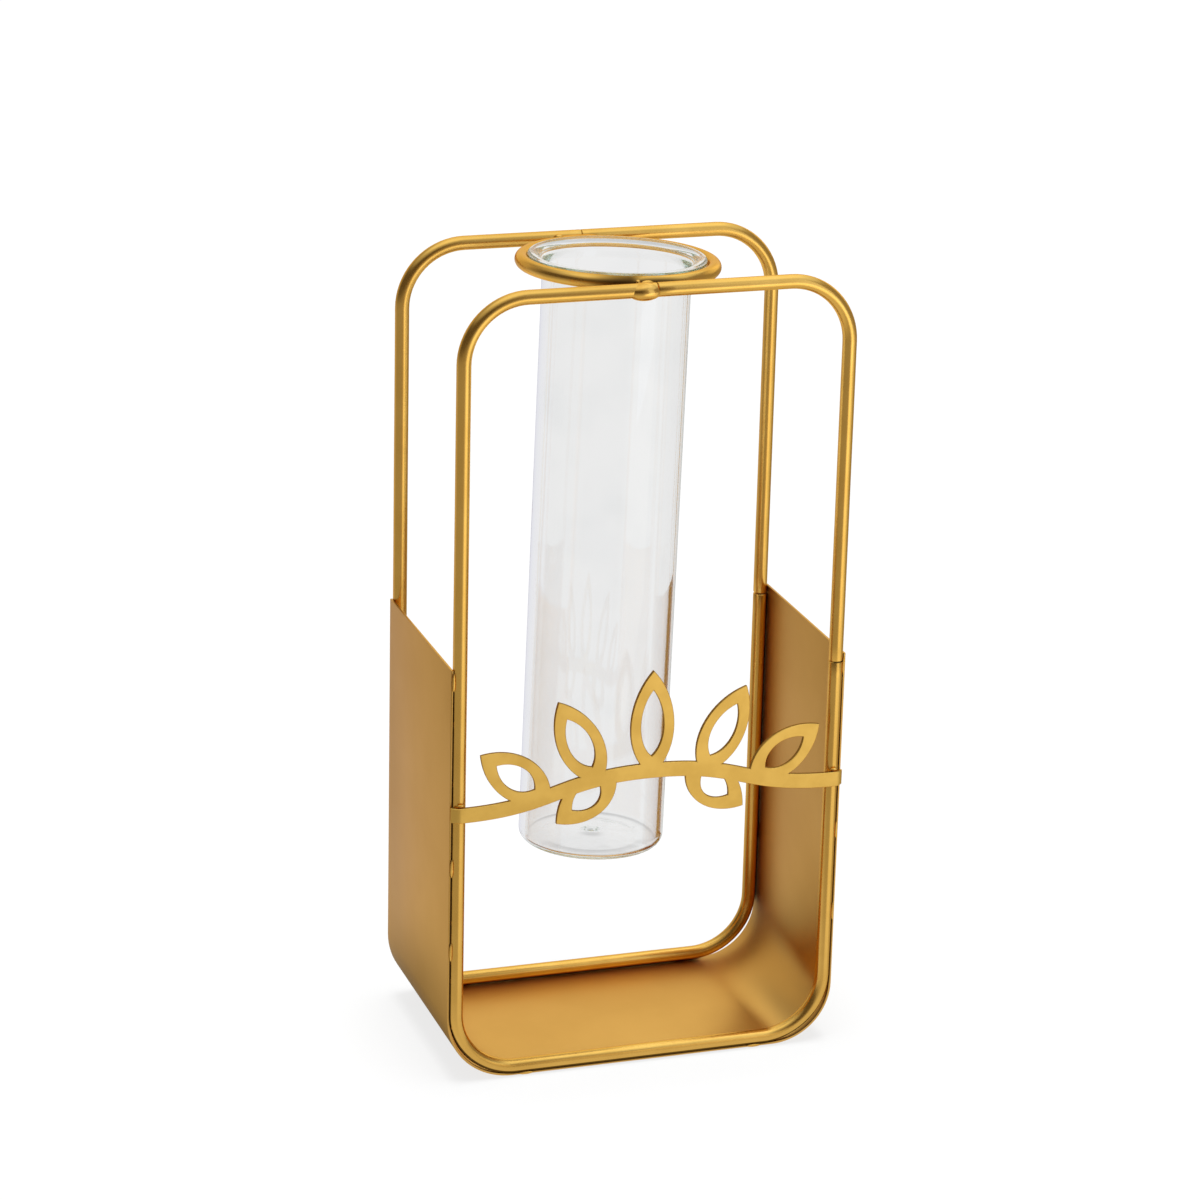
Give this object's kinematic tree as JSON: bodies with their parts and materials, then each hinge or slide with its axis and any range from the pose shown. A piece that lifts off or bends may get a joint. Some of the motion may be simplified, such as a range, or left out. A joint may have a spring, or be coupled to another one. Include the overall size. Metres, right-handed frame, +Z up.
{
  "type": "hydroponic vase",
  "caption": "Glass tube vase hung by its flared lip in a wire ring between bent-wire frames on a U-shaped sheet-metal band, with a cut leaf spray across the front.",
  "frame": {"origin": "on the ground, in the middle of the band's flat underside", "axes": "+Z up, -Y towards the front with the leaf spray, +X to the viewer's right"},
  "size_m": [0.1008, 0.0581, 0.2012],
  "materials": {
    "gold_wire": "steel wire with satin gold-coloured plating",
    "gold_sheet": "steel sheet with softer, matte gold-coloured plating",
    "gold_spray": "cut steel sheet with fine-grained matte gold-coloured plating",
    "gold_weld": "weld filler under the same gold-coloured plating",
    "clear_glass": "clear drawn glass with a fire-polished lip and a faint green edge"
  },
  "bodies": {
    "stand": {"front_wire_frame": "gold_wire", "rear_wire_frame": "gold_wire", "front_corner_wire": "gold_wire", "rear_corner_wire": "gold_wire", "base_band": "gold_sheet", "tube_ring": "gold_wire", "leaf_spray": "gold_spray", "ring_weld_front": "gold_weld", "ring_weld_rear": "gold_weld", "spray_weld_left": "gold_weld", "spray_weld_right": "gold_weld", "tack_weld_front_left_top": "gold_weld", "tack_weld_front_left_middle": "gold_weld", "tack_weld_front_left_low": "gold_weld", "tack_weld_rear_left_top": "gold_weld", "tack_weld_rear_left_middle": "gold_weld", "tack_weld_rear_left_low": "gold_weld", "tack_weld_front_right_top": "gold_weld", "tack_weld_front_right_middle": "gold_weld", "tack_weld_front_right_low": "gold_weld", "tack_weld_rear_right_top": "gold_weld", "tack_weld_rear_right_middle": "gold_weld", "tack_weld_rear_right_low": "gold_weld", "tack_weld_front_bottom_left": "gold_weld", "tack_weld_front_bottom_right": "gold_weld", "tack_weld_rear_bottom_left": "gold_weld", "tack_weld_rear_bottom_right": "gold_weld"},
    "tube": {"glass_tube": "clear_glass"}
  },
  "joints": [
    {"name": "tube_lift", "type": "slide", "parent": "stand", "child": "tube", "axis": [0.0323, 0.0279, 0.9991], "range_m": [0, 0.155]}
  ]
}
